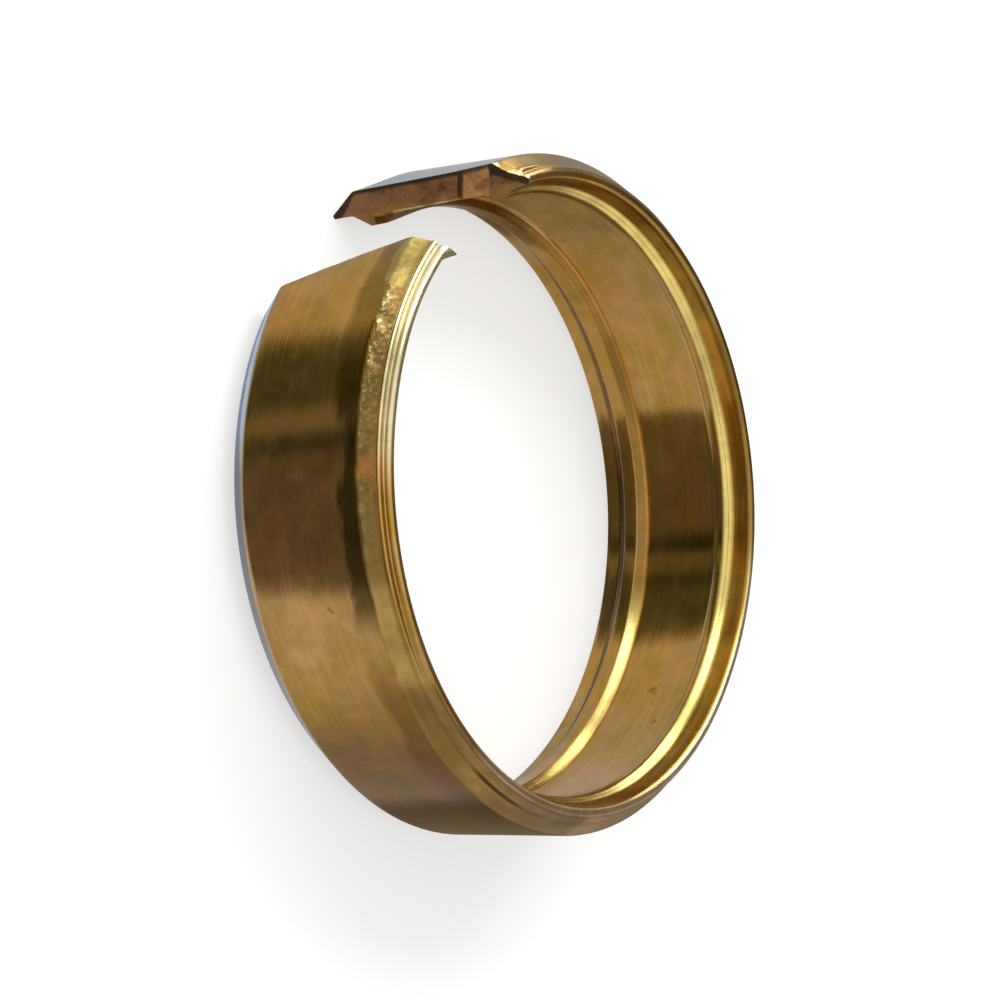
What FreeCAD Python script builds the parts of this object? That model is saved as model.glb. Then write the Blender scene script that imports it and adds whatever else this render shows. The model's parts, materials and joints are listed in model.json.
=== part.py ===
import FreeCAD, Part
import math
import os

# Compression olive: a turned brass ring, split by a slanted slit so that it can be sprung over a pipe.
# The ring's axis is +Z. It stands on its back end, with the origin on the axis at that end.
# The slit is at +Y. All sizes are in millimetres and degrees.

# Across the wall
grip_d = 26.6               # across the crests of the two ridges that bite into the pipe
ridge_height = 0.4          # from a crest out to the floor of the wide groove between the ridges
wall = 1.3                  # from the groove's floor out to the plain outer band
back_land_step = 0.58       # from a crest out to the plain land inside the back end
front_land_step = 0.33      # from a crest out to the land inside the front end
front_land_flare = 0.15     # how far the front land opens towards the front end
back_end_width = 0.17       # width of the back end face
front_end_width = 0.44      # width of the front end face
front_tread = 0.3           # width of the small turned step outside the front end face

# Along the axis
length = 8.25               # from the back end to the front end
back_cone_length = 1.28     # the tapered nose that enters the fitting
front_bevel_length = 0.6    # the bevel that the nut presses on
front_riser_low = 0.17      # from the bevel up to the small turned step
front_riser_high = 0.29     # from that step up to the front end face
back_crest_start = 1.4      # from the back end to the back ridge's crest
back_crest_width = 0.54
front_crest_inset = 1.25    # from the front end to the front ridge's crest
front_crest_width = 0.3

# Slopes and roundings
ridge_flank = 45.0          # slope of the ridges' flanks, measured from the axis
band_corner_r = 0.12        # rounding where the cone and the bevel meet the band

# Slit through the wall
slit_width = 6.6            # across the slit, halfway up the ring
slit_left_slant = 19.7      # lean of the face on the -X side, measured from the axis
slit_right_slant = 17.0     # lean of the face on the +X side, measured from the axis
corner_break_depth = 0.65   # how far the front corner of the +X face is broken away
corner_break_start = 2.15   # from the front end to where the broken corner begins
corner_break_full = 1.05    # from the front end to where it has its full depth

# Radii and heights that follow from these
grip_r = grip_d / 2
groove_r = grip_r + ridge_height
band_r = groove_r + wall
band_end = length - front_riser_high - front_riser_low - front_bevel_length
back_land_r = grip_r + back_land_step
front_land_r = grip_r + front_land_step
front_mouth_r = front_land_r + front_land_flare
front_end_r = front_mouth_r + front_end_width
front_step_r = front_end_r + front_tread
front_step_z = length - front_riser_high


def flank_run(wall_r):
    # Length along the axis of a flank that climbs from a wall of this radius to a crest.
    return (wall_r - grip_r) / math.tan(math.radians(ridge_flank))


def section_points():
    # Corners of the wall's section as (radius, height), once round from the back end's inner edge.
    back_crest_end = back_crest_start + back_crest_width
    front_crest_end = length - front_crest_inset
    front_crest_start = front_crest_end - front_crest_width
    return [
        (back_land_r, 0),
        (back_land_r + back_end_width, 0),
        (band_r, back_cone_length),
        (band_r, band_end),
        (front_step_r, front_step_z - front_riser_low),
        (front_step_r, front_step_z),
        (front_end_r, front_step_z),
        (front_end_r, length),
        (front_mouth_r, length),
        (front_land_r, front_crest_end + flank_run(front_land_r)),
        (grip_r, front_crest_end),
        (grip_r, front_crest_start),
        (groove_r, front_crest_start - flank_run(groove_r)),
        (groove_r, back_crest_end + flank_run(groove_r)),
        (grip_r, back_crest_end),
        (grip_r, back_crest_start),
        (back_land_r, back_crest_start - flank_run(back_land_r)),
    ]


def polygon_face(points):
    # Flat face in the XZ plane from a list of (x, z) corners.
    corners = [FreeCAD.Vector(x, 0, z) for x, z in points]
    return Part.Face(Part.makePolygon(corners + corners[:1]))


def turned_ring():
    # The whole ring as it comes off the lathe, before it is slit.
    axis_point = FreeCAD.Vector(0, 0, 0)
    axis = FreeCAD.Vector(0, 0, 1)
    ring = polygon_face(section_points()).revolve(axis_point, axis, 360)
    band_ends = (back_cone_length, band_end)
    corners = []
    for edge in ring.Edges:
        on_band = abs(edge.BoundBox.XMax - band_r) < 1e-6
        at_corner = any(abs(edge.BoundBox.ZMin - z) + abs(edge.BoundBox.ZMax - z) < 1e-6 for z in band_ends)
        if on_band and at_corner:
            corners.append(edge)
    return ring.makeFillet(band_corner_r, corners)


def slit_cutter():
    # Prism that clears the slit, from the ring's axis out past its band and past both ends.
    over = 1.0
    middle = length / 2
    left_lean = math.tan(math.radians(slit_left_slant))
    right_lean = math.tan(math.radians(slit_right_slant))

    def left_x(z):
        return -slit_width / 2 + (z - middle) * left_lean

    def right_x(z):
        return slit_width / 2 + (z - middle) * right_lean

    low = -over
    high = length + over
    break_start = length - corner_break_start
    break_full = length - corner_break_full
    outline = [
        (left_x(low), low),
        (right_x(low), low),
        (right_x(break_start), break_start),
        (right_x(break_full) + corner_break_depth, break_full),
        (right_x(high) + corner_break_depth, high),
        (left_x(high), high),
    ]
    return polygon_face(outline).extrude(FreeCAD.Vector(0, band_r + over, 0))


os.makedirs("parts", exist_ok=True)
olive = turned_ring().cut(slit_cutter()).removeSplitter()
olive.Solids[0].exportStep("parts/olive.step")
print("olive: solids", len(olive.Solids), "valid", olive.isValid(), "volume mm3", round(olive.Volume, 2))
print("box", olive.BoundBox)
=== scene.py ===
import json
import math
from collections import namedtuple

import bmesh
import bpy
from mathutils import Matrix, Vector, noise


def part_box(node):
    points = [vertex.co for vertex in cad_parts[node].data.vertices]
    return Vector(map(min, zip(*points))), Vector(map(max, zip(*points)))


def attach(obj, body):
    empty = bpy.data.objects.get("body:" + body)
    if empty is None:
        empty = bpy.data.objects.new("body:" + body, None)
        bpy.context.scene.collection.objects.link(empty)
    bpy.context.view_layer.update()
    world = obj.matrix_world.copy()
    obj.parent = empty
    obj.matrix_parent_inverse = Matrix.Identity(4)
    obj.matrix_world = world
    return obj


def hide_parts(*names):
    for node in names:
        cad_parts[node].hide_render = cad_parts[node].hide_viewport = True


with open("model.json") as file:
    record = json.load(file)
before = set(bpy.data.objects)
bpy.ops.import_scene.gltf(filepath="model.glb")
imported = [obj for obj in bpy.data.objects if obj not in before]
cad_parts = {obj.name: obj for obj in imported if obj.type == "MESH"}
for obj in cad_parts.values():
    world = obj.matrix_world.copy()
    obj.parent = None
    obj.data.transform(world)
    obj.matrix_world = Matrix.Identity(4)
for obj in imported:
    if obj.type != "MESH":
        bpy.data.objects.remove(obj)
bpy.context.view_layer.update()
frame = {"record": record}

mm = 0.001
hair = 0.01 * mm                                    # slack for telling places on the ring apart
mounts = {mount["name"]: mount for mount in frame["record"]["mounts"]}

# Camera, fitted to the photo: the ring's axis leans back from the line of sight
cameraView = {
    "slitTurn": 34.3,                               # degrees from the slit's middle to the picture's top
    "tilt": 54.51,                                  # degrees between the ring's axis and the line of sight
    "roll": 4.04,
    "sideways": 2.799 * mm,
    "upwards": 0.041 * mm,
    "distance": 130.86 * mm,
    "lens": 104.05,                                 # this and the sensor in millimetres
    "sensor": 36.0,
}
turnToPicture = Matrix.Rotation(math.radians(-cameraView["slitTurn"]), 4, "Z")


def pictureDirection(right, up, front):             # picture's right and up, and the ring's front
    return (turnToPicture @ Vector((right, up, front))).normalized()


def addCamera():
    data = bpy.data.cameras.new("camera")
    data.lens = cameraView["lens"]
    data.sensor_width = cameraView["sensor"]
    data.clip_start = 0.005
    data.clip_end = 10
    camera = bpy.data.objects.new("camera", data)
    bpy.context.scene.collection.objects.link(camera)
    lean = Matrix.Rotation(math.radians(-cameraView["tilt"]), 4, "Y")
    roll = Matrix.Rotation(math.radians(-cameraView["roll"]), 4, "Z")
    place = Matrix.Translation((cameraView["sideways"], cameraView["upwards"], cameraView["distance"]))
    camera.matrix_world = turnToPicture @ lean @ roll @ place
    bpy.context.scene.camera = camera
    print("camera placed")


# Shader maths: one wrapped socket, with the operators that the finishes use
class Wire:
    def __init__(self, tree, socket=None):
        self.tree = tree
        self.socket = socket

    def add(self, kind, settings=None, inputs=None, out=0):
        node = self.tree.nodes.new("ShaderNode" + kind)
        for name, value in (settings or {}).items():
            setattr(node, name, value)
        for name, value in (inputs or {}).items():
            if isinstance(value, Wire):
                self.tree.links.new(value.socket, node.inputs[name])
            else:
                node.inputs[name].default_value = value
        if isinstance(out, tuple):
            return [Wire(self.tree, node.outputs[each]) for each in out]
        return Wire(self.tree, node.outputs[out] if node.outputs else None)

    def math(self, operation, first, second=0.0):
        return self.add("Math", {"operation": operation}, {0: first, 1: second})

    def __add__(self, other):
        return self.math("ADD", self, other)

    def __radd__(self, other):
        return self.math("ADD", other, self)

    def __sub__(self, other):
        return self.math("SUBTRACT", self, other)

    def __rsub__(self, other):
        return self.math("SUBTRACT", other, self)

    def __mul__(self, other):
        return self.math("MULTIPLY", self, other)

    def __rmul__(self, other):
        return self.math("MULTIPLY", other, self)

    def __truediv__(self, other):
        return self.math("DIVIDE", self, other)

    def step(self, low, high):                      # 0 below low, 1 above high, smooth between
        inputs = {0: self, 1: low, 2: high, 3: 0, 4: 1}
        return self.add("MapRange", {"interpolation_type": "SMOOTHSTEP"}, inputs)

    def mix(self, first, second):                   # colours, by this factor
        return self.add("Mix", {"data_type": "RGBA"}, {0: self, 6: first, 7: second}, 2)

    def scale(self, factor):                        # a colour or vector, times this factor
        return self.add("VectorMath", {"operation": "SCALE"}, {0: self, "Scale": factor})

    def noise(self, scale, detail=2.0, roughness=0.5):
        inputs = {"Vector": self, "Scale": scale, "Detail": detail, "Roughness": roughness}
        return self.add("TexNoise", None, inputs)


def newFinish(name):
    material = bpy.data.materials.new(name)
    material.use_nodes = True
    tree = material.node_tree
    tree.nodes.clear()
    return material, Wire(tree)


def closeFinish(shade, surface):
    shade.add("OutputMaterial", None, {"Surface": surface})


# The ring: its section is spun round, its front is worn and filed, then it is slit and its arms sprung
ring = {
    "bandRadius": mounts["outer_band"]["dims"]["r_mm"] * mm,
    "gripRadius": mounts["pipe_grip"]["dims"]["r_mm"] * mm,
    "length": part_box("olive")[1].z,
    "ridgeHeight": 0.4 * mm,
    "backLandStep": 0.58 * mm,
    "frontLandStep": 0.33 * mm,
    "frontLandFlare": 0.15 * mm,
    "backEndWidth": 0.17 * mm,
    "frontEndWidth": 0.44 * mm,
    "frontTread": 0.3 * mm,
    "backConeLength": 1.28 * mm,
    "frontBevelLength": 0.6 * mm,
    "frontRiserLow": 0.17 * mm,
    "frontRiserHigh": 0.29 * mm,
    "backCrestStart": 1.4 * mm,
    "backCrestWidth": 0.66 * mm,
    "frontCrestInset": 1.25 * mm,
    "frontCrestWidth": 0.3 * mm,
    "scoreDepth": 0.008 * mm,                       # fine line turned into the front ridge's flank
    "bandRounding": 0.12 * mm,
    "hollowRounding": 0.1 * mm,
    "grooveRounding": 0.18 * mm,
    "treadRounding": 0.12 * mm,
    "beadRounding": 0.2 * mm,                       # both edges of the front end face
    "valleyRounding": 0.06 * mm,
    "edgeRounding": 0.03 * mm,
    "roundingStep": 0.06 * mm,                      # each of these in a rounding adds a segment
    "frontFlank": 0.78,                             # run of the front ridge's inner flank, by its height
    "backFlank": 1.12,                              # and of the back ridge's
    "sharpFrom": 30.0,                              # degrees between faces that makes an edge sharp
    "steps": 640,                                   # round the whole ring
    "fineSpacing": 0.08 * mm,                       # between loops near the front bevel
    "coarseSpacing": 0.3 * mm,
}
ring["bandEnd"] = ring["length"] - ring["frontRiserHigh"] - ring["frontRiserLow"] - ring["frontBevelLength"]
ring["grooveRadius"] = ring["gripRadius"] + ring["ridgeHeight"]
ring["backLandRadius"] = ring["gripRadius"] + ring["backLandStep"]
ring["frontLandRadius"] = ring["gripRadius"] + ring["frontLandStep"]
ring["frontMouthRadius"] = ring["frontLandRadius"] + ring["frontLandFlare"]
ring["frontEndRadius"] = ring["frontMouthRadius"] + ring["frontEndWidth"]
ring["frontStepRadius"] = ring["frontEndRadius"] + ring["frontTread"]
ring["frontStepHeight"] = ring["length"] - ring["frontRiserHigh"]
ring["bevelTop"] = ring["frontStepHeight"] - ring["frontRiserLow"]

chatter = {                                         # stretch of the front bevel that the tool left rough
    "from": 97.0,                                   # degrees round the ring from +X
    "to": 150.0,
    "fade": 9.0,
    "borderWander": 0.12 * mm,
    "borderGrain": 1.5 / mm,
    "depth": 0.035 * mm,
    "grain": 2.6 / mm,
    "rubbedAngle": 104.0,                           # rubbed end of the bevel beside the slit, wider there
    "rubbedSpread": 5.5,                            # degrees
    "rubbedLength": 0.45 * mm,
    "rubbedDepth": 0.03 * mm,
    "rubbedFade": 0.15 * mm,
}
worn = {                                            # where the small front steps are worn flat
    "stretches": [                                  # in degrees
        {"middle": 226.0, "half": 56.0, "fade": 16.0},
        {"middle": 42.0, "half": 22.0, "fade": 10.0},
    ],
    "inset": 0.06 * mm,                             # points this far inside the front end's edge wear too
    "endInset": 0.04 * mm,                          # and the worn slope ends this far inside it
    "tintFade": 0.08 * mm,                          # the bevel's colour fades in over this length
    "tintSoft": 0.3 * mm,                           # over this much more where worn
    "tintEarly": 0.2 * mm,                          # starts this much further back there
    "tintInset": 0.08 * mm,                         # and goes this far inside the front end's edge
}
slit = {
    "width": 6.6 * mm,                              # halfway up the ring
    "leftSlant": 19.7,                              # degrees from the ring's axis
    "rightSlant": 17.0,
    "breakDepth": 0.65 * mm,
    "breakStart": 2.15 * mm,                        # from the front end
    "breakFull": 1.05 * mm,
    "ledge": 0.14 * mm,                             # small step where the broken corner begins
    "secondLedge": 0.25 * mm,                       # and where it has its full depth
    "breakShift": 0.2 * mm,                         # the ledges lie this much further back at the outer edge
    "breakLean": 0.42,                              # and by this share more, inwards from there
    "breakOuter": 14.0 * mm,
    "chamfer": 0.25 * mm,                           # at the right face's inner edge
    "chamferFrom": 1.5 * mm,                        # height where the chamfer starts from nothing
    "chamferRise": 1.2 * mm,
    "over": 1.0 * mm,                               # the cutter reaches this far past the ring
    "inner": 11.0 * mm,                             # distance from the axis where the cutter starts
    "spacing": 0.14 * mm,
    "roughness": 0.03 * mm,
    "grain": 1.7 / mm,
}
arms = {                                            # the two arms spring inwards
    "springs": [                                    # from and to in degrees
        {"from": 10.7, "to": 72.0, "inward": 0.23 * mm, "flare": 28.0},
        {"from": 121.0, "to": 99.5, "inward": 0.15 * mm, "flare": 0.0},
    ],
    "flareFrom": 0.95,                              # share of an arm from which its tip flares out again
    "until": 1.25,                                  # share that holds all of the slanted tip
}
filing = {                                          # flats filed on the front corners beside the slit
    "flats": [
        {"angle": 69.3, "away": -1, "radius": 15.0 * mm, "height": 7.2 * mm, "lean": 49.0, "runOut": 0.6},
        {"angle": 97.5, "away": 1, "radius": 15.0 * mm, "height": 7.5 * mm, "lean": 45.0, "runOut": 0.9},
    ],
    "beyond": 0.2 * mm,                             # they deepen only this far past their angle
    "reach": 0.4,                                   # radians round the ring that they stay within
}
burr = {                                            # spur that the saw left on the lower arm's front corner
    "radius": 13.78 * mm,
    "height": 8.15 * mm,
    "spread": 0.45 * mm,
    "across": 0.6 * mm,                             # into the slit
    "inward": 0.42 * mm,
}


def sectionCorners():                               # radius, height, rounding; from the back end's inner edge
    size = ring
    backCrestEnd = size["backCrestStart"] + size["backCrestWidth"]
    frontCrestEnd = size["length"] - size["frontCrestInset"]
    frontCrestStart = frontCrestEnd - size["frontCrestWidth"]
    scoreHeight = frontCrestEnd + size["frontLandStep"] / 2
    scoreRadius = size["gripRadius"] + size["frontLandStep"] / 2
    deep = size["scoreDepth"]
    edge = size["edgeRounding"]
    hollow = size["hollowRounding"]
    band = size["bandRounding"]
    tread = size["treadRounding"]
    beadHighlight = size["beadRounding"]
    valley = size["valleyRounding"]
    groove = size["grooveRounding"]
    return [
        (size["backLandRadius"], 0, edge),
        (size["backLandRadius"] + size["backEndWidth"], 0, edge),
        (size["bandRadius"], size["backConeLength"], band),
        (size["bandRadius"], size["bandEnd"], hollow),
        (size["frontStepRadius"], size["bevelTop"], edge),
        (size["frontStepRadius"], size["frontStepHeight"], tread),
        (size["frontEndRadius"], size["frontStepHeight"], valley),
        (size["frontEndRadius"], size["length"], beadHighlight),
        (size["frontMouthRadius"], size["length"], beadHighlight),
        (size["frontLandRadius"], frontCrestEnd + size["frontLandStep"], hollow),
        (scoreRadius + deep, scoreHeight + deep, 0),
        (scoreRadius + deep, scoreHeight - deep, 0),
        (scoreRadius - deep, scoreHeight - deep, 0),
        (size["gripRadius"], frontCrestEnd, band),
        (size["gripRadius"], frontCrestStart, edge),
        (size["grooveRadius"], frontCrestStart - size["ridgeHeight"] * size["frontFlank"], groove),
        (size["grooveRadius"], backCrestEnd + size["ridgeHeight"] * size["backFlank"], hollow),
        (size["gripRadius"], backCrestEnd, edge),
        (size["gripRadius"], size["backCrestStart"], edge),
        (size["backLandRadius"], size["backCrestStart"] - size["backLandStep"], hollow),
    ]


def spinSection(bm):
    corners = sectionCorners()
    verts = [bm.verts.new((radius, 0, height)) for radius, height, rounding in corners]
    bm.faces.new(verts)
    for rounding in sorted({corner[2] for corner in corners} - {0}):
        picked = [vert for vert, corner in zip(verts, corners) if corner[2] == rounding]
        bmesh.ops.bevel(bm, geom=picked, offset=rounding, offset_type="OFFSET", affect="VERTICES",
                        segments=2 + int(rounding / ring["roundingStep"]), profile=0.5, material=-1)
    bmesh.ops.delete(bm, geom=bm.faces[:], context="FACES_ONLY")
    fineFrom = ring["bandEnd"] - chatter["rubbedLength"] - 2 * chatter["borderWander"]
    bmesh.ops.bisect_plane(bm, geom=bm.verts[:] + bm.edges[:], plane_co=(0, 0, fineFrom), plane_no=(0, 0, 1))
    for edge in bm.edges[:]:
        low = min(vert.co.z for vert in edge.verts)
        outer = max(vert.co.x for vert in edge.verts)
        fine = low > fineFrom - hair / 10 and outer > ring["frontStepRadius"]
        spacing = ring["fineSpacing"] if fine else ring["coarseSpacing"]
        cuts = int(edge.calc_length() / spacing)
        if cuts:
            bmesh.ops.subdivide_edges(bm, edges=[edge], cuts=cuts)
    bmesh.ops.spin(bm, geom=bm.edges[:] + bm.verts[:], cent=(0, 0, 0), axis=(0, 0, 1), angle=math.pi / 2,
                   dvec=(0, 0, 0), steps=ring["steps"] // 4)
    for turn in (math.pi / 2, math.pi):             # the quarter is doubled twice, quicker than a full spin
        copy = bmesh.ops.duplicate(bm, geom=bm.verts[:] + bm.edges[:] + bm.faces[:])["geom"]
        moved = [item for item in copy if isinstance(item, bmesh.types.BMVert)]
        bmesh.ops.rotate(bm, verts=moved, cent=(0, 0, 0), matrix=Matrix.Rotation(turn, 3, "Z"))
    bmesh.ops.remove_doubles(bm, verts=bm.verts[:], dist=hair / 10)
    bmesh.ops.recalc_face_normals(bm, faces=bm.faces[:])
    print("ring spun:", len(bm.faces), "faces")


def chatterShare(angle):                            # 1 on the rough stretch, falling to 0 beyond it
    within = min(angle - chatter["from"], chatter["to"] - angle) / chatter["fade"]
    return min(1, max(0, 0.5 + within))


def bevelStart(x, y):                               # height where the front bevel begins at this place
    place = Vector((x, y, 0)) * chatter["borderGrain"]
    wander = noise.noise(place) + 0.5 * noise.noise(2.3 * place)
    share = chatterShare(math.degrees(math.atan2(y, x)))
    return ring["bandEnd"] + wander * chatter["borderWander"] * (0.2 + 0.8 * share)


def rubbedLength(x, y):                             # how far the rubbed end reaches onto the band
    away = (math.degrees(math.atan2(y, x)) - chatter["rubbedAngle"]) / chatter["rubbedSpread"]
    return chatter["rubbedLength"] * math.sqrt(max(0, 1 - away ** 2))


def chatterBevel(bm):
    drop = ring["bandRadius"] - ring["frontStepRadius"]
    for vert in bm.verts:
        x, y, z = vert.co
        radius = math.hypot(x, y)
        start = bevelStart(x, y)
        reach = rubbedLength(x, y)
        if radius < ring["frontStepRadius"] - hair:
            continue
        if not start - reach < z < ring["bevelTop"] + hair:
            continue
        share = max(0, (z - start) / (ring["bevelTop"] - start))
        line = ring["bandRadius"] - drop * share
        rough = noise.fractal(vert.co * chatter["grain"], 1.0, 2.0, 3)
        rough *= 0.15 + 0.85 * chatterShare(math.degrees(math.atan2(y, x)))
        target = line - chatter["depth"] * (0.5 + 0.5 * rough) * min(1, 6 * share, 6 * (1 - share))
        if reach:
            fadeIn = (z - start + reach) / chatter["rubbedFade"]
            target -= chatter["rubbedDepth"] * min(1, fadeIn, 3 * (1 - share))
        scale = min(radius, target) / radius
        vert.co.x *= scale
        vert.co.y *= scale
    for face in bm.faces:
        face.smooth = True
    print("front bevel chattered")


def wornShare(x, y):                                # 1 where the front steps are worn flat
    share = 0
    for part in worn["stretches"]:
        away = abs((math.degrees(math.atan2(y, x)) - part["middle"] + 180) % 360 - 180)
        share = max(share, 0.5 + (part["half"] - away) / part["fade"])
    return min(1, share)


def wearSteps(bm):
    for vert in bm.verts:
        x, y, z = vert.co
        radius = math.hypot(x, y)
        if z > ring["bevelTop"] - hair and radius > ring["frontEndRadius"] - worn["inset"]:
            share = (z - ring["bevelTop"]) / (ring["length"] - ring["bevelTop"])
            line = ring["frontStepRadius"] - share * (ring["frontTread"] + worn["endInset"])
            scale = 1 + wornShare(x, y) * (line / radius - 1)
            vert.co.x *= scale
            vert.co.y *= scale


def fileCorners(bm):
    for flat in filing["flats"]:
        across = math.sin(math.radians(90 - flat["lean"]))
        along = math.cos(math.radians(90 - flat["lean"]))
        for vert in bm.verts:
            radius = math.hypot(vert.co.x, vert.co.y)
            turn = math.atan2(vert.co.y, vert.co.x) - math.radians(flat["angle"])
            away = flat["away"] * turn * flat["radius"]
            proud = across * (radius - flat["radius"]) + along * (vert.co.z - flat["height"])
            proud -= flat["runOut"] * max(away, -filing["beyond"])
            if proud > 0 and abs(turn) < filing["reach"]:
                scale = (radius - across * proud) / radius
                vert.co.x *= scale
                vert.co.y *= scale
                vert.co.z -= along * proud


def leftFace(z):                                    # where the two faces of the slit stand at this height
    return -slit["width"] / 2 + (z - ring["length"] / 2) * math.tan(math.radians(slit["leftSlant"]))


def rightFace(z):
    return slit["width"] / 2 + (z - ring["length"] / 2) * math.tan(math.radians(slit["rightSlant"]))


def slitCutter():
    bm = bmesh.new()
    middle = ring["length"] / 2
    low = -slit["over"]
    high = ring["length"] + slit["over"]
    breakStart = ring["length"] - slit["breakStart"]
    breakFull = ring["length"] - slit["breakFull"]
    outline = [
        (leftFace(low), low),
        (rightFace(low), low),
        (rightFace(breakStart), breakStart),
        (rightFace(breakStart) + slit["ledge"], breakStart + slit["ledge"] / 4),
        (rightFace(breakFull) + slit["breakDepth"] - slit["secondLedge"], breakFull),
        (rightFace(breakFull) + slit["breakDepth"], breakFull + slit["secondLedge"] / 4),
        (rightFace(high) + slit["breakDepth"], high),
        (leftFace(high), high),
    ]
    corners = [bm.verts.new((x, slit["inner"], z)) for x, z in outline]
    sides = [bm.edges.new((corner, corners[number - 1])) for number, corner in enumerate(corners)]
    for side in sides:
        cuts = int(side.calc_length() / slit["spacing"])
        if cuts:
            bmesh.ops.subdivide_edges(bm, edges=[side], cuts=cuts)
    reach = ring["bandRadius"] + slit["over"] - slit["inner"]
    layers = int(reach / slit["spacing"])
    bmesh.ops.spin(bm, geom=bm.verts[:] + bm.edges[:], cent=(0, 0, 0), axis=(0, 0, 1), angle=0,
                   dvec=(0, reach / layers, 0), steps=layers)
    bmesh.ops.holes_fill(bm, edges=[edge for edge in bm.edges if edge.is_boundary], sides=0)
    chamfered = set()
    for vert in bm.verts:
        x, y, z = vert.co
        if not low < z < high:
            continue
        rough = slit["roughness"] * noise.fractal(vert.co * slit["grain"], 0.9, 2.0, 4)
        vert.co.x += rough if x > 0 else -rough
        if x > 0:
            rise = min(1, max(0, (z - slit["chamferFrom"]) / slit["chamferRise"]))
            fall = min(1, max(0, (breakStart - z) / slit["spacing"]))
            chamfer = slit["chamfer"] * rise * fall
            innerEdge = math.sqrt(ring["grooveRadius"] ** 2 - x ** 2)
            inset = min(chamfer, max(0, innerEdge + chamfer - y))
            if inset > 2 * hair:
                chamfered.add(vert)
            share = min(1, max(0, (z - middle) / (breakStart - middle)), (high - z) / (high - breakFull))
            back = share * (slit["breakShift"] + slit["breakLean"] * max(0, slit["breakOuter"] - y))
            vert.co.x += inset - back * math.tan(math.radians(slit["rightSlant"]))
            vert.co.z -= back
    for face in bm.faces:
        face.material_index = 0 if chamfered.issuperset(face.verts) else 1
        face.smooth = True
    bmesh.ops.recalc_face_normals(bm, faces=bm.faces[:])
    mesh = bpy.data.meshes.new("slitCutter")
    bm.to_mesh(mesh)
    bm.free()
    return mesh


def cutSlit(piece):
    cutter = bpy.data.objects.new("slitCutter", slitCutter())
    bpy.context.scene.collection.objects.link(cutter)
    for finish in piece.data.materials:
        cutter.data.materials.append(finish)
    boolean = piece.modifiers.new("slit", "BOOLEAN")
    boolean.operation = "DIFFERENCE"
    boolean.solver = "EXACT"
    boolean.object = cutter
    bpy.context.view_layer.update()
    whole = piece.data
    piece.data = bpy.data.meshes.new_from_object(piece.evaluated_get(bpy.context.evaluated_depsgraph_get()))
    piece.modifiers.clear()
    bpy.data.objects.remove(cutter)
    bpy.data.meshes.remove(whole)
    print("slit cut:", len(piece.data.polygons), "faces")


def markSurfaces(mesh):                             # what the finishes need from before the arms are sprung
    wallRadius = mesh.attributes.new("wallRadius", "FLOAT", "POINT").data
    bevelShare = mesh.attributes.new("bevelShare", "FLOAT", "POINT").data
    for vert in mesh.vertices:
        x, y, z = vert.co
        radius = math.hypot(x, y)
        onBevel = radius > ring["frontStepRadius"] - 2 * hair and z < ring["bevelTop"] + 2 * hair
        onStep = radius > ring["frontEndRadius"] - worn["tintInset"] and z > ring["bevelTop"]
        flat = wornShare(x, y)
        past = z - bevelStart(x, y) + rubbedLength(x, y) + worn["tintEarly"] * flat
        share = past / (worn["tintFade"] + worn["tintSoft"] * flat)
        wallRadius[vert.index].value = radius / mm
        bevelShare[vert.index].value = min(1, max(0, share)) if onBevel else onStep * flat


def raiseBurr(mesh):
    x = leftFace(burr["height"])
    corner = Vector((x, math.sqrt(burr["radius"] ** 2 - x ** 2), burr["height"]))
    for vert in mesh.vertices:
        share = max(0, 1 - (vert.co - corner).length / burr["spread"]) ** 1.5
        vert.co.x += burr["across"] * share
        vert.co.y -= burr["inward"] * share


def springArms(mesh):
    for vert in mesh.vertices:
        angle = math.degrees(math.atan2(vert.co.y, vert.co.x))
        for arm in arms["springs"]:
            share = (angle - arm["from"]) / (arm["to"] - arm["from"])
            if 0 < share < arms["until"]:
                bend = share ** 2 * (1 - arm["flare"] * max(0, share - arms["flareFrom"]) ** 2)
                radius = math.hypot(vert.co.x, vert.co.y)
                scale = 1 - arm["inward"] * bend / radius
                vert.co.x *= scale
                vert.co.y *= scale


def addOlive(finishes):
    bm = bmesh.new()
    spinSection(bm)
    chatterBevel(bm)
    wearSteps(bm)
    fileCorners(bm)
    mesh = bpy.data.meshes.new("splitRing")
    bm.to_mesh(mesh)
    bm.free()
    for finish in finishes:
        mesh.materials.append(finish)
    piece = bpy.data.objects.new("splitRing", mesh)
    bpy.context.scene.collection.objects.link(piece)
    cutSlit(piece)
    markSurfaces(piece.data)
    raiseBurr(piece.data)
    springArms(piece.data)
    piece.data.set_sharp_from_angle(angle=math.radians(ring["sharpFrom"]))
    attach(piece, "root")
    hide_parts("olive")


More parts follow.
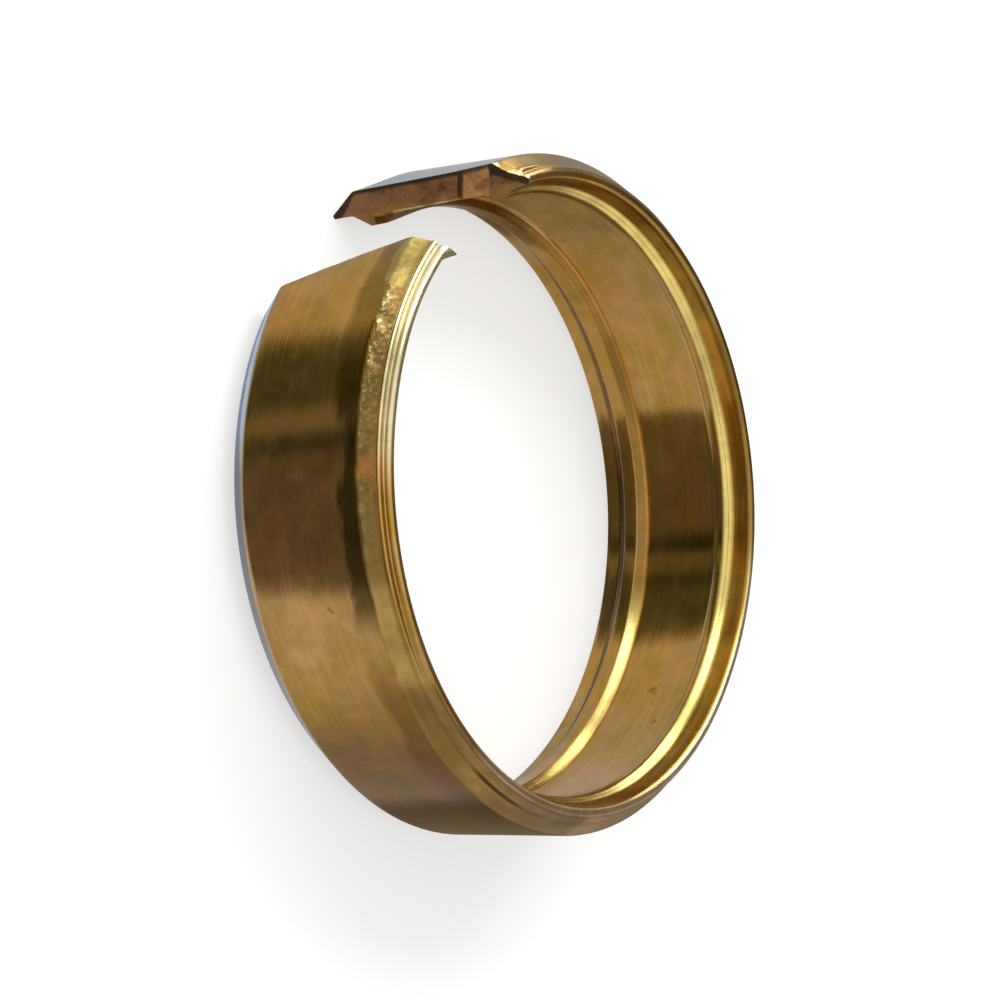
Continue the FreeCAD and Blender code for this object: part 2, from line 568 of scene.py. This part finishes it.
# Finishes: every pattern follows the ring's own axis, in millimetres and degrees
wall = {                                            # radii and heights that the finishes go by
    "crest": ring["gripRadius"] / mm,
    "groove": ring["grooveRadius"] / mm,
    "backLand": ring["backLandRadius"] / mm,
    "backEdge": (ring["backLandRadius"] + ring["backEndWidth"]) / mm,
    "mouth": ring["frontMouthRadius"] / mm,
    "step": ring["frontStepRadius"] / mm,
    "band": ring["bandRadius"] / mm,
    "coneEnd": ring["backConeLength"] / mm,
    "bevelTop": ring["bevelTop"] / mm,
}
turned = {                                          # bare brass, all over
    "tan": (0.45, 0.255, 0.05, 1),
    "rust": (0.42, 0.2, 0.045, 1),
    "olive": (0.4, 0.25, 0.048, 1),
    "mauve": (0.45, 0.255, 0.095, 1),
    "gold": (0.52, 0.33, 0.06, 1),
    "rustAt": (-5.86, 13.8, 2.2),                   # warmer patch on the lower arm
    "rustSize": 3.0,
    "pit": (0.11, 0.06, 0.018, 1),
    "pitWander": 0.5,                               # makes the pits ragged
    "pits": [                                       # place and size
        (10.96, 8.22, 4.01, 0.2), (12.49, 5.63, 3.05, 0.16), (0.62, -13.69, 5.39, 0.2),
        (1.39, -13.63, 6.59, 0.2), (2.67, -13.44, 4.52, 0.24), (13.72, 2.11, 0.46, 0.16),
        (-14.24, 4.71, 5.06, 0.2),
    ],
    "pitGrain": 3.0,
    "anisotropic": 0.98,
    "lineDepth": 0.012 * mm,
    "endPace": 1.7,                                 # lines per mm on the end faces, by those on the walls
}
inside = {
    "ridge": (0.6, 0.5, 0.17, 1),                   # flanks of the two ridges, painted pale as a highlight
    "ridgeHighlightAngle": -100.0,                           # the back one only round here, a painted highlight
    "frontHalf": (4.0, 4.5),                        # heights where the front one's half begins
    "paintedShade": (0.16, 0.09, 0.025, 1),                 # elsewhere on the back one, painted shade
    "footShade": (0.1, 0.06, 0.02, 1),                   # painted shade: dark line in the hollow at its foot
    "footShadeAt": 0.82,
    "seam": (0.6, 0.25, 0.03, 1),                   # and a red one at the foot of its other flank
    "seamAt": 2.46,
    "land": (0.46, 0.26, 0.035, 1),                 # inside the front end
    "landRed": (0.38, 0.17, 0.012, 1),              # redder stretch of it
    "landRedAngle": -38.0,
    "landFrom": (7.2, 7.4),
    "grooveReach": (2.4, 6.3),
    "paintedGrooveLight": (0.85, 0.64, 0.3, 1),                  # painted light: paler stretch of the groove beside the slit
    "paintedGrooveLightAngle": 52.0,
    "grooveShade": (0.1, 0.055, 0.01, 1),                 # painted shade: darker bar across the groove
    "grooveShadeAngle": -50.5,
    "grooveShadeHalf": 6.0,
}
outside = {
    "silver": (0.16, 0.19, 0.21, 1),                # grey stretch of the band on the upper arm beside the slit
    "silverAngle": 73.0,
    "dusk": (0.5, 0.29, 0.11, 1),                   # paler, rosy stretch of the band
    "duskAngle": 154.0,
    "tarnishAndShade": (0.18, 0.09, 0.024, 1),              # browner stretch, partly tarnish and partly painted shade
    "tarnishAndShadeAngle": 211.0,
    "stripFrom": 6.1,                               # strip on the band beside the front bevel
    "stripBrown": (0.26, 0.135, 0.02, 1),           # brown part, then its dark and its red one
    "stripBrownReach": (96, 132),
    "stripDark": (0.09, 0.052, 0.01, 1),
    "stripDarkReach": (128, 164),
    "stripRed": (0.16, 0.06, 0.009, 1),
    "stripRedAngle": 193.0,
    "coneReflection": (0.8, 0.8, 0.76, 1),                # painted reflection: near-white stretch of the back cone
    "coneReflectionAngle": 115.0,
    "coneDark": (0.09, 0.095, 0.1, 1),              # darker, bluish grey along the back end
    "coneDarkAngle": 155.0,
}
frontEnd = {
    "beadHighlight": (0.74, 0.64, 0.38, 1),                  # painted highlight on the edge round two angles
    "beadHighlightAngles": (108.0, -75.0),
    "paintedShade": (0.22, 0.125, 0.03, 1),                 # and painted shade round another
    "paintedShadeAngle": -5.0,
    "rosy": (0.85, 0.6, 0.38, 1),                   # paler at the bottom
    "rosyAngle": 230.0,
    "riserShadow": (0.05, 0.035, 0.012, 1),               # painted shadow: dark line at the foot of the front step
    "riserShadowFrom": -164.0,
    "riserShadowTo": -150.0,
    "filed": (0.62, 0.5, 0.24, 1),                  # painted highlight along the filed edge on the upper arm
    "filedWidth": 0.13,
    "filedFrom": 6.9,
    "filedReach": (60, 80),
}
bevelled = {
    "gold": (0.31, 0.235, 0.07, 1),                 # rubbed end of the bevel beside the slit
    "goldReach": (85, 109),
    "tan": (0.33, 0.2, 0.058, 1),
    "olive": (0.21, 0.135, 0.04, 1),
    "oliveReach": (106, 172),
    "dark": (0.13, 0.075, 0.022, 1),
    "pale": (0.52, 0.32, 0.1, 1),                   # lighter stretch below the rough one
    "paleAngle": 168.0,
    "brown": (0.15, 0.088, 0.028, 1),               # streaky stretch below that
    "brownAngle": 203.0,
    "streak": (0.25, 0.15, 0.052, 1),
    "rosy": (0.5, 0.31, 0.15, 1),                   # stretch at the bottom
    "rosyAngle": 250.0,
    "fleck": (0.72, 0.6, 0.3, 1),
    "fleckUntil": (7.45, 7.75),                     # heights where the flecks grow fewer
    "fleckFewer": (122, 138),                       # and angles
    "copper": (0.36, 0.12, 0.03, 1),                # reddish spot
    "copperAt": (-11.29, 9.49, 7.55),
    "copperSize": 0.6,
}
Place = namedtuple("Place", "point x y height radius cosine sine angle")
Grain = namedtuple("Grain", "fineLines coarseLines smear waver streaks cloud blotch mottle fleck")


def ringPlace(shade):                               # where a point lies on the ring, its angle -180 to 180
    point = shade.add("TexCoord", None, None, "Object").scale(1 / mm)
    x, y, height = shade.add("SeparateXYZ", None, {0: point}, (0, 1, 2))
    outward = shade.math("SQRT", x * x + y * y)
    radius = shade.add("Attribute", {"attribute_name": "wallRadius"}, None, "Fac")
    angle = shade.math("ARCTAN2", y, x) * math.degrees(1)
    return Place(point, x, y, height, radius, x / outward, y / outward, angle)


def drawnOut(shade, at, perMm, around, detail):     # noise drawn out round the ring, as turning leaves it
    along = at.height + at.radius * turned["endPace"]
    lines = shade.add("CombineXYZ", None, {0: along * perMm, 1: at.cosine * around, 2: at.sine * around})
    return lines.noise(1.0, detail)


def brassGrain(shade, at):
    return Grain(
        fineLines=drawnOut(shade, at, 24, 3, 2),
        coarseLines=drawnOut(shade, at, 6, 1.8, 3),
        smear=drawnOut(shade, at, 1.1, 4.5, 3),
        waver=drawnOut(shade, at, 5, 16, 2),
        streaks=drawnOut(shade, at, 4, 4, 3),
        cloud=at.point.noise(0.33, 4, 0.6),
        blotch=at.point.noise(0.8, 3, 0.55),
        mottle=at.point.noise(2.6, 3, 0.6),
        fleck=at.point.noise(5.5, 2, 0.6),
    )


def stretch(angle, first, last, fade):              # 1 between the two angles, fading out over each end
    return angle.step(first - fade / 2, first + fade / 2) * (1 - angle.step(last - fade / 2, last + fade / 2))


def nearTo(value, middle, half):                    # 1 close to the middle, 0 beyond half
    return 1 - value.math("ABSOLUTE", value - middle).step(0.5 * half, half)


def towards(at, degrees):                           # 1 at this angle round the ring, 0 a quarter turn away
    return at.cosine * math.cos(math.radians(degrees)) + at.sine * math.sin(math.radians(degrees))


def spot(point, place, size):                       # 1 at the place, 0 beyond the size
    away = point.add("VectorMath", {"operation": "DISTANCE"}, {0: point, 1: place}, "Value")
    return 1 - away.step(0.4 * size, size)


def brassColor(at, grain):
    color = grain.cloud.step(0.4, 0.64).mix(turned["tan"], turned["mauve"])
    patch = spot(at.point, turned["rustAt"], turned["rustSize"])
    color = at.x.math("MAXIMUM", grain.blotch.step(0.48, 0.66) * 0.7, patch * 0.6).mix(color, turned["rust"])
    color = (grain.smear.step(0.5, 0.72) * 0.6).mix(color, turned["olive"])
    return (grain.coarseLines.step(0.55, 0.75) * 0.4).mix(color, turned["gold"])


def insideColor(color, at):
    crest = wall["crest"]
    floor = wall["groove"]
    mouth = wall["mouth"]
    front = at.height.step(*inside["frontHalf"])
    flank = at.radius.step(crest + 0.01, crest + 0.05) * (1 - at.radius.step(floor - 0.05, floor))
    # painted highlight: the ridge flanks are painted pale, the front one all round and the back one only
    # round one angle, and the rest of the back one gets painted shade
    bright = at.x.math("MAXIMUM", front, towards(at, inside["ridgeHighlightAngle"]).step(0.68, 0.84))
    color = (flank * 0.8).mix(color, bright.mix(inside["paintedShade"], inside["ridge"]))
    # painted shade in the hollow at the back ridge's foot
    footShade = nearTo(at.height, inside["footShadeAt"], 0.16) * nearTo(at.radius, wall["backLand"] - 0.04, 0.16)
    color = (footShade * 0.75).mix(color, inside["footShade"])
    seam = nearTo(at.height, inside["seamAt"], 0.09) * (1 - at.radius.step(floor + 0.04, floor + 0.08))
    color = (seam * 0.4).mix(color, inside["seam"])
    groove = nearTo(at.radius, floor, 0.12) * stretch(at.height, *inside["grooveReach"], 0.3)
    # painted light on the groove beside the slit
    color = (groove * towards(at, inside["paintedGrooveLightAngle"]).step(0.88, 0.94) * 0.9).mix(color, inside["paintedGrooveLight"])
    # painted shade: a darker bar across the groove, over a lighter streak it would mirror
    grooveShade = groove * nearTo(at.angle, inside["grooveShadeAngle"], inside["grooveShadeHalf"])
    color = (grooveShade * 0.45).mix(color, inside["grooveShade"])
    land = at.height.step(*inside["landFrom"]) * (1 - at.radius.step(mouth + 0.02, mouth + 0.06))
    red = towards(at, inside["landRedAngle"]).step(0.88, 0.97)
    return (land * 0.8).mix(color, red.mix(inside["land"], inside["landRed"]))


def outsideColor(color, at, grain):
    band = wall["band"]
    backEdge = wall["backEdge"]
    onBand = at.radius.step(band - 0.2, band - 0.1)
    silver = (towards(at, outside["silverAngle"]) + (grain.blotch - 0.5) * 0.1).step(0.95, 0.99) * onBand
    color = (silver * 0.7).mix(color, outside["silver"])
    dusk = (towards(at, outside["duskAngle"]) + (grain.blotch - 0.5) * 0.2).step(0.93, 0.99) * onBand
    color = (dusk * 0.8).mix(color, outside["dusk"])
    # partly tarnish, partly painted shade standing in for a shadowed reflection at the bottom of the band
    tarnishAndShade = (towards(at, outside["tarnishAndShadeAngle"]) + (grain.cloud - 0.5) * 0.3).step(0.78, 0.98)
    tarnishAndShade = tarnishAndShade * at.radius.step(backEdge - 0.05, backEdge + 0.2)
    color = (tarnishAndShade * 0.85).mix(color, outside["tarnishAndShade"])
    stripStart = outside["stripFrom"] - (grain.smear - 0.5) * 1.6 - (grain.blotch - 0.5) * 0.8
    past = at.height - stripStart
    brown = past.step(-0.4, 0.3) * stretch(at.angle, *outside["stripBrownReach"], 12)
    color = (brown * onBand * 0.9).mix(color, outside["stripBrown"])
    strip = past.step(0.0, 0.4) * stretch(at.angle, *outside["stripDarkReach"], 6)
    color = (strip * onBand * 0.85).mix(color, outside["stripDark"])
    red = past.step(-0.6, 0.2) * towards(at, outside["stripRedAngle"]).step(0.9, 0.97)
    color = (red * onBand * 0.65).mix(color, outside["stripRed"])
    cone = 1 - at.height.step(wall["coneEnd"] - 0.18, wall["coneEnd"] - 0.03)
    cone = cone * at.radius.step(backEdge - 0.05, backEdge + 0.01)
    # painted reflection of bright surroundings on a stretch of the back cone
    pale = cone * towards(at, outside["coneReflectionAngle"]).step(0.9, 0.97)
    color = (pale * 0.8).mix(color, outside["coneReflection"])
    backEndDark = cone * (1 - (at.radius + (grain.mottle - 0.5) * 0.2 + pale * 0.3).step(band - 0.35, band - 0.15))
    backEndDark = backEndDark * towards(at, outside["coneDarkAngle"]).step(0.3, 0.6)
    return (backEndDark * 0.8).mix(color, outside["coneDark"])


def frontEndColor(color, at):
    mouth = wall["mouth"]
    above = at.height.step(wall["bevelTop"] + 0.07, wall["bevelTop"] + 0.11)
    edge = above * at.radius.step(mouth + 0.02, mouth + 0.06)
    # painted highlight on the front end's edges round two angles
    for beadHighlightAngle in frontEnd["beadHighlightAngles"]:
        color = (towards(at, beadHighlightAngle).step(0.8, 0.94) * edge * 0.85).mix(color, frontEnd["beadHighlight"])
    color = (towards(at, frontEnd["rosyAngle"]).step(0.76, 0.9) * edge * 0.85).mix(color, frontEnd["rosy"])
    # painted shade on the front end's inner edge round one angle
    paintedShade = towards(at, frontEnd["paintedShadeAngle"]).step(0.6, 0.78) * above
    color = (paintedShade * at.radius.step(mouth - 0.08, mouth - 0.04) * 0.8).mix(color, frontEnd["paintedShade"])
    # painted highlight: a thin bright strip along the filed edge beside the cut
    slant = math.tan(math.radians(slit["rightSlant"]))
    face = (rightFace(0) + slit["breakDepth"]) / mm
    filed = nearTo(at.x - at.height * slant, face, frontEnd["filedWidth"])
    filed = filed * stretch(at.angle, *frontEnd["filedReach"], 4)
    filed = filed * at.height.step(frontEnd["filedFrom"], frontEnd["filedFrom"] + 0.1)
    return (filed * 0.8).mix(color, frontEnd["filed"])


def bevelColor(at, grain, rough):
    color = (stretch(at.angle, *bevelled["oliveReach"], 16) * 0.9).mix(bevelled["tan"], bevelled["olive"])
    rubbed = stretch(at.angle, *bevelled["goldReach"], 5)
    color = (rubbed * 0.85).mix(color, bevelled["gold"])
    rough = rough * (1 - rubbed)
    color = (rough * grain.mottle.step(0.42, 0.62) * 0.6).mix(color, bevelled["dark"])
    color = (towards(at, bevelled["paleAngle"]).step(0.98, 0.995) * 0.9).mix(color, bevelled["pale"])
    streaks = grain.streaks.step(0.42, 0.66).mix(bevelled["brown"], bevelled["streak"])
    brown = (towards(at, bevelled["brownAngle"]) + (grain.cloud - 0.5) * 0.1).step(0.87, 0.91)
    color = (brown * 0.9).mix(color, streaks)
    rosy = (towards(at, bevelled["rosyAngle"]) + (grain.cloud - 0.5) * 0.1).step(0.9, 0.95)
    color = (rosy * 0.8).mix(color, bevelled["rosy"])
    outerEdge = 1 - (at.height + grain.mottle * 0.5).step(*bevelled["fleckUntil"])
    flecks = rough * grain.fleck.step(0.5, 0.66) * (0.25 + outerEdge * 0.65)
    flecks = flecks * (1 - at.angle.step(*bevelled["fleckFewer"]) * 0.8)
    color = flecks.mix(color, bevelled["fleck"])
    copper = spot(at.point, bevelled["copperAt"], bevelled["copperSize"])
    return (copper * (0.3 + grain.mottle.step(0.4, 0.6) * 0.6)).mix(color, bevelled["copper"])


def pitsAndRiserShadow(color, at):                           # pits, and a painted shadow line at the foot of the front step
    wander = at.point.add("TexNoise", None, {"Vector": at.point, "Scale": turned["pitGrain"]}, "Color")
    shift = wander.scale(turned["pitWander"])
    strewn = at.point.add("VectorMath", {"operation": "ADD"}, {0: at.point, 1: shift})
    for *place, size in turned["pits"]:
        middle = [each + turned["pitWander"] / 2 for each in place]
        color = (spot(strewn, middle, size) * 0.5).mix(color, turned["pit"])
    # painted shadow at the foot of the front step, where the riser shades it, darkest on one stretch
    foot = nearTo(at.height, wall["bevelTop"] + 0.03, 0.1) * nearTo(at.radius, wall["step"], 0.1)
    riserShadowLine = foot * (0.25 + stretch(at.angle, frontEnd["riserShadowFrom"], frontEnd["riserShadowTo"], 5) * 0.75)
    return riserShadowLine.mix(color, frontEnd["riserShadow"])


def turnedBrass():
    material, shade = newFinish("turnedBrass")
    at = ringPlace(shade)
    grain = brassGrain(shade, at)
    bevel = shade.add("Attribute", {"attribute_name": "bevelShare"}, None, "Fac")
    rough = stretch(at.angle, chatter["from"], chatter["to"], 2 * chatter["fade"]) * bevel
    color = brassColor(at, grain)
    color = insideColor(color, at)
    color = outsideColor(color, at, grain)
    color = frontEndColor(color, at)
    color = bevel.mix(color, bevelColor(at, grain, rough))
    tone = 0.62 + grain.coarseLines * 0.22 + grain.fineLines * 0.1 + grain.mottle * 0.18
    tone = tone + grain.cloud.step(0.35, 0.65) * 0.15 + grain.blotch.step(0.4, 0.62) * 0.16
    color = pitsAndRiserShadow(color.scale(tone), at)
    roughness = 0.06 + grain.fineLines * 0.08 + grain.cloud * 0.08 + grain.blotch * 0.06
    roughness = roughness + bevel * (0.1 + grain.mottle * 0.12)
    relief = grain.fineLines * 0.5 + grain.coarseLines * (0.5 + bevel) + grain.waver * 0.3
    relief = relief + grain.mottle * (0.1 + rough * 2.4) + grain.fleck * rough
    normal = shade.add("Bump", None, {"Strength": 1.0, "Distance": turned["lineDepth"], "Height": relief})
    surface = shade.add("BsdfPrincipled", None, {
        "Base Color": color, "Metallic": 1.0, "Roughness": roughness, "Normal": normal,
        "Anisotropic": turned["anisotropic"], "Anisotropic Rotation": 0.25,
    })
    closeFinish(shade, surface)
    return material


sawn = {
    "dark": (0.2, 0.09, 0.045, 1),
    "brown": (0.4, 0.205, 0.075, 1),
    "mauve": (0.36, 0.18, 0.095, 1),
    "ochre": (0.46, 0.26, 0.075, 1),                # along the inner edge and on the broken corner
    "burrAndShade": (0.05, 0.036, 0.024, 1),                 # dark along the outer edge and at the ledge, partly burr and partly painted shadow, widest in the notch below the filed edge
    "tipRim": 0.25,                                 # how fast it widens towards the back end
    "ledgeAt": (ring["length"] - slit["breakStart"] - slit["breakShift"]) / mm,
    "notchFrom": (ring["length"] - slit["breakFull"] - slit["breakShift"]) / mm,
    "notchShadowFrom": 6.9,                               # height from which the dark widens towards the front, painted shadow in the notch
    "ochreUntil": (13.75, 14.05),
    "depth": 0.03 * mm,
}


def sawnBrass():
    material, shade = newFinish("sawnBrass")
    at = ringPlace(shade)
    patches = at.point.noise(1.4, 4, 0.6)
    tint = at.point.noise(0.9, 2)
    grain = at.point.noise(7.0, 3, 0.6)
    color = patches.step(0.36, 0.6).mix(sawn["dark"], sawn["brown"])
    color = (tint.step(0.45, 0.65) * 0.7).mix(color, sawn["mauve"])
    innerEdge = 1 - (at.radius + (patches - 0.5) * 0.5).step(*sawn["ochreUntil"])
    color = (innerEdge * 0.6).mix(color, sawn["ochre"])
    color = color.scale(0.75 + grain * 0.4)
    level = at.height + (slit["breakOuter"] / mm - at.y) * slit["breakLean"]
    upper = at.x.step(0, 0.5)                       # the upper arm's face
    # painted shadow in the notch under the filed edge widens the dark along the outer edge
    notchShadow = level.step(sawn["notchFrom"], sawn["notchFrom"] + 0.1) * upper
    notchShadow = notchShadow * (0.35 + (at.height - sawn["notchShadowFrom"]) * 0.62)
    slope = (ring["bandRadius"] - ring["backLandRadius"] - ring["backEndWidth"]) / ring["backConeLength"]
    cone = shade.math("MAXIMUM", wall["coneEnd"] - at.height, 0.0) * (slope + sawn["tipRim"])
    burrAndShade = (at.radius + (grain - 0.5) * 0.2 + notchShadow + cone).step(wall["band"] - 0.26, wall["band"] - 0.1)
    ledge = nearTo(level, sawn["ledgeAt"], 0.13) * upper
    color = (shade.math("MAXIMUM", burrAndShade, ledge) * 0.9).mix(color, sawn["burrAndShade"])
    relief = patches + grain * 0.5
    normal = shade.add("Bump", None, {"Strength": 1.0, "Distance": sawn["depth"], "Height": relief})
    surface = shade.add("BsdfPrincipled", None, {
        "Base Color": color, "Metallic": 1.0, "Roughness": 0.36 + grain * 0.2, "Normal": normal,
    })
    closeFinish(shade, surface)
    return material


# Stage: pale floor, two softboxes, pale surroundings with a dark side that the metal mirrors
studio = {
    "floorSize": 0.8,
    "floorColor": (0.42, 0.42, 0.42, 1),
    "floorLift": 0.56,                              # light added to the floor where it is seen
    "above": (0.6, 0.6, 0.6, 1),                    # surroundings above the floor
    "bright": (1.3, 1.3, 1.27, 1),                  # brighter parts of them
    "brightTowards": [                              # right, up and front in the picture, and how near to that
        ((0.25, -0.85, 0.4), 0.55, 0.95),
        ((-0.5, 0.2, 0.85), 0.55, 0.95),
        ((-0.1, 0.93, 0.33), 0.82, 0.94),
    ],
    "rightDim": (0.2, 0.19, 0.16, 1),               # dim side to the picture's right
    "rightTowards": ((0.75, -0.1, 0.65), 0.7, 0.9),
    "below": (0.78, 0.78, 0.78, 1),                 # what the metal mirrors in place of the floor
    "belowDim": (0.62, 0.62, 0.62, 1),              # the same, towards the picture's bottom
    "dimAngle": 305.0,                              # degrees from the picture's right, towards its top
    "belowWarm": (0.25, 0.2, 0.12, 1),              # and its lower right
    "warmAngle": 325.0,
    "belowBlue": (0.5, 0.62, 0.82, 1),              # and its right, further down
    "blueTowards": ((0.58, 0.405, -0.707), 0.8, 0.9),
    "dark": (0.09, 0.095, 0.05, 1),                 # dark side to the picture's left
    "darkMiddle": 163.5,
    "darkHalf": 44.5,
    "darkBands": [                                  # its bands: start and fade in degrees, and colour
        (-17.5, 1.0, (0.29, 0.28, 0.22, 1)),
        (-9.5, 0.8, (0.04, 0.04, 0.02, 1)),
        (-3.0, 3.0, (0.15, 0.135, 0.095, 1)),
        (25.0, 16.0, (0.19, 0.165, 0.13, 1)),
    ],
    "softboxDistance": 0.3,
    "softboxes": [
        {"name": "topStrip", "towards": (0.166, 0.62, 0.766), "size": (0.33, 0.09), "radiance": 6.0},
        {"name": "rightBox", "towards": (0.5, 0.8, 0.36), "size": (0.18, 0.12), "radiance": 4.0},
    ],
}


def addFloor():
    material, shade = newFinish("paleFloor")
    matt = shade.add("BsdfDiffuse", None, {"Color": studio["floorColor"]})
    direct, through = shade.add("LightPath", None, None, ("Is Camera Ray", "Is Transmission Ray"))
    lift = (direct + through) * studio["floorLift"]
    glow = shade.add("Emission", None, {"Color": (1, 1, 1, 1), "Strength": lift})
    closeFinish(shade, shade.add("AddShader", None, {0: matt, 1: glow}))
    bm = bmesh.new()
    bmesh.ops.create_grid(bm, x_segments=1, y_segments=1, size=studio["floorSize"])
    mesh = bpy.data.meshes.new("floor")
    bm.to_mesh(mesh)
    bm.free()
    mesh.materials.append(material)
    floor = bpy.data.objects.new("floor", mesh)
    bpy.context.scene.collection.objects.link(floor)
    floor.visible_glossy = False                    # the metal mirrors the pale surroundings below instead


def addSurroundings():
    world = bpy.data.worlds.new("surroundings")
    bpy.context.scene.world = world
    world.use_nodes = True
    world.node_tree.nodes.clear()
    sky = Wire(world.node_tree)
    direction = sky.add("TexCoord", None, None, "Generated")

    def along(degrees):                             # how far the direction points this way round the ring
        way = pictureDirection(math.cos(math.radians(degrees)), math.sin(math.radians(degrees)), 0)
        return sky.add("VectorMath", {"operation": "DOT_PRODUCT"}, {0: direction, 1: way}, "Value")

    def facing(way, low, high):                     # 1 where the direction lies close to this way
        inputs = {0: direction, 1: pictureDirection(*way)}
        return sky.add("VectorMath", {"operation": "DOT_PRODUCT"}, inputs, "Value").step(low, high)

    height = sky.add("SeparateXYZ", None, {0: direction}, 2)
    middle = studio["darkMiddle"]
    half = studio["darkHalf"]
    turn = sky.math("ARCTAN2", along(middle + 90), along(middle)) * math.degrees(1)
    dark = turn.step(-half - 1, -half + 1) * (1 - turn.step(half - 2, half + 2))
    below = 1 - height.step(-0.3, -0.05)
    color = studio["above"]
    for way, low, high in studio["brightTowards"]:
        color = facing(way, low, high).mix(color, studio["bright"])
    color = facing(*studio["rightTowards"]).mix(color, studio["rightDim"])
    under = along(studio["dimAngle"]).step(0.3, 0.75).mix(studio["below"], studio["belowDim"])
    under = along(studio["warmAngle"]).step(0.68, 0.77).mix(under, studio["belowWarm"])
    blue = facing(*studio["blueTowards"]) * (1 - height.step(-0.62, -0.56))
    under = blue.mix(under, studio["belowBlue"])
    color = below.mix(color, under)
    gloom = studio["dark"]
    for start, fade, shadeColor in studio["darkBands"]:
        gloom = turn.step(start - fade, start + fade).mix(gloom, shadeColor)
    color = (below * dark).mix(color, gloom)
    color = sky.add("LightPath", None, None, "Is Camera Ray").mix(color, (1, 1, 1, 1))
    sky.add("OutputWorld", None, {"Surface": sky.add("Background", None, {"Color": color, "Strength": 1.0})})


def addLights():
    for box in studio["softboxes"]:
        lamp = bpy.data.lights.new(box["name"], "AREA")
        lamp.shape = "RECTANGLE"
        lamp.size, lamp.size_y = box["size"]
        lamp.energy = box["radiance"] * math.pi * lamp.size * lamp.size_y
        way = pictureDirection(*box["towards"])
        light = bpy.data.objects.new(box["name"], lamp)
        bpy.context.scene.collection.objects.link(light)
        turn = way.to_track_quat("Z", "Y").to_matrix().to_4x4()
        light.matrix_world = Matrix.Translation(way * studio["softboxDistance"]) @ turn
    bpy.context.scene.view_settings.view_transform = "Standard"
    print("floor, surroundings and lights set")


addCamera()
addOlive([turnedBrass(), sawnBrass()])
addFloor()
addSurroundings()
addLights()
